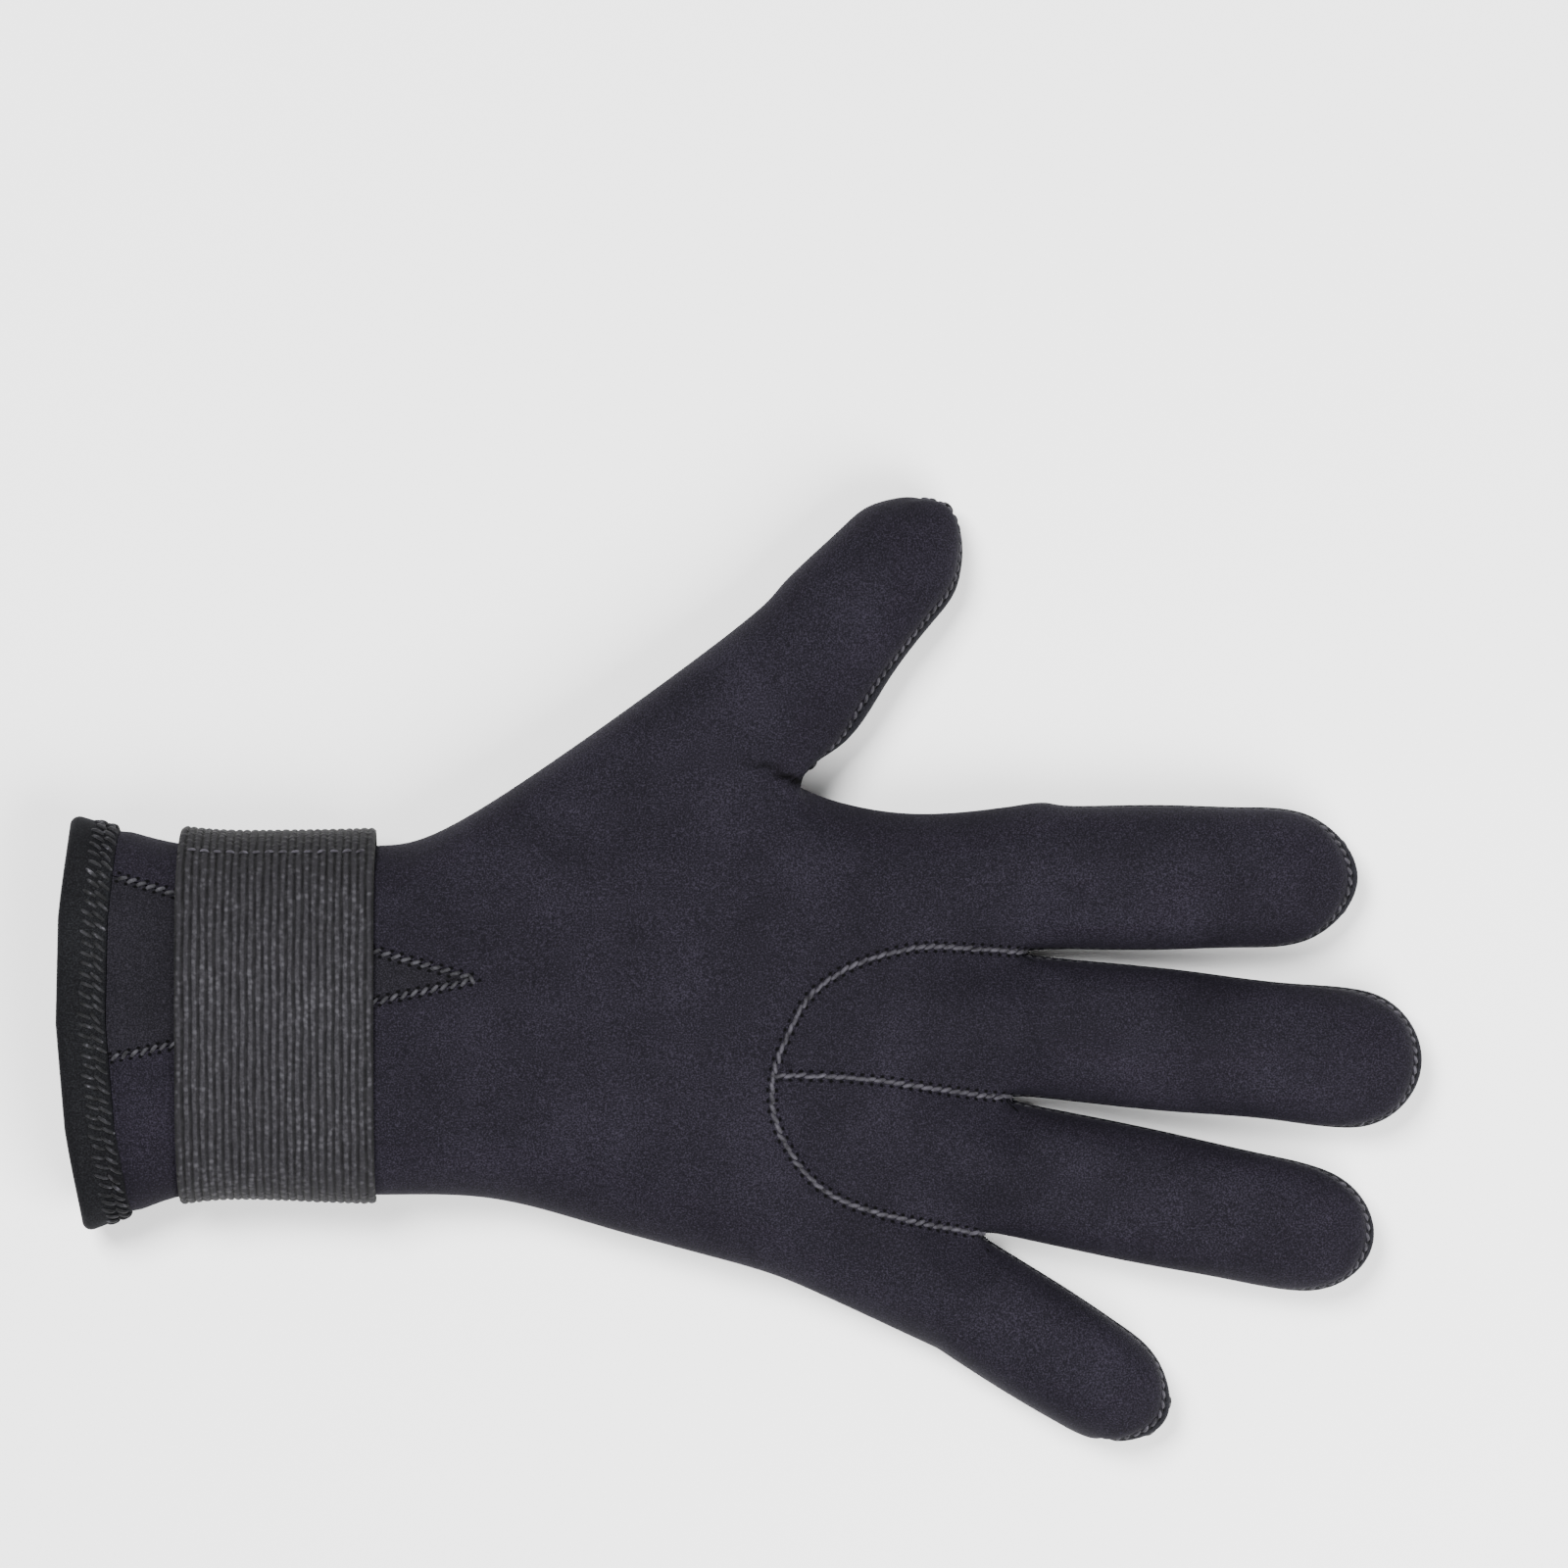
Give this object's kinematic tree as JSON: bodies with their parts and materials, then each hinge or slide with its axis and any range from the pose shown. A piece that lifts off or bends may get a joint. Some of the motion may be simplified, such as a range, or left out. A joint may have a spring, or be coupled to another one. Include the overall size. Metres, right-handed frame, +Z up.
{
  "type": "diving glove",
  "caption": "Right-hand neoprene diving glove lying palm down, with a stitched inset over two fingers, a gripping palm, a pointed wrist insert and a wrap-over wrist strap.",
  "frame": {"origin": "middle of the footprint, on the surface that the glove lies on", "axes": "+X from the cuff to the fingertips, +Y across the hand towards the thumb, +Z up from the palm to the back of the hand"},
  "size_m": [0.267, 0.1858, 0.0292],
  "materials": {
    "neoprene": "fine nylon jersey over foam rubber, purple-black",
    "inset": "the same jersey-faced neoprene, seen across the grain",
    "grip": "jersey with raised glossy rubber dots",
    "gusset": "ribbed stretch jersey, dark grey",
    "hem": "folded jersey edge, near black",
    "elastic": "ribbed woven elastic, matte charcoal",
    "hook": "moulded hook tape",
    "loop": "brushed loop pile"
  },
  "bodies": {
    "root": {"back_panel": "neoprene", "middle_finger_panel": "inset", "ring_finger_panel": "inset", "palm_panel": "grip", "cuff_gusset": "gusset", "cuff_hem": "hem", "wrist_strap": "elastic", "hook_patch": "hook", "loop_patch": "loop"}
  },
  "joints": []
}
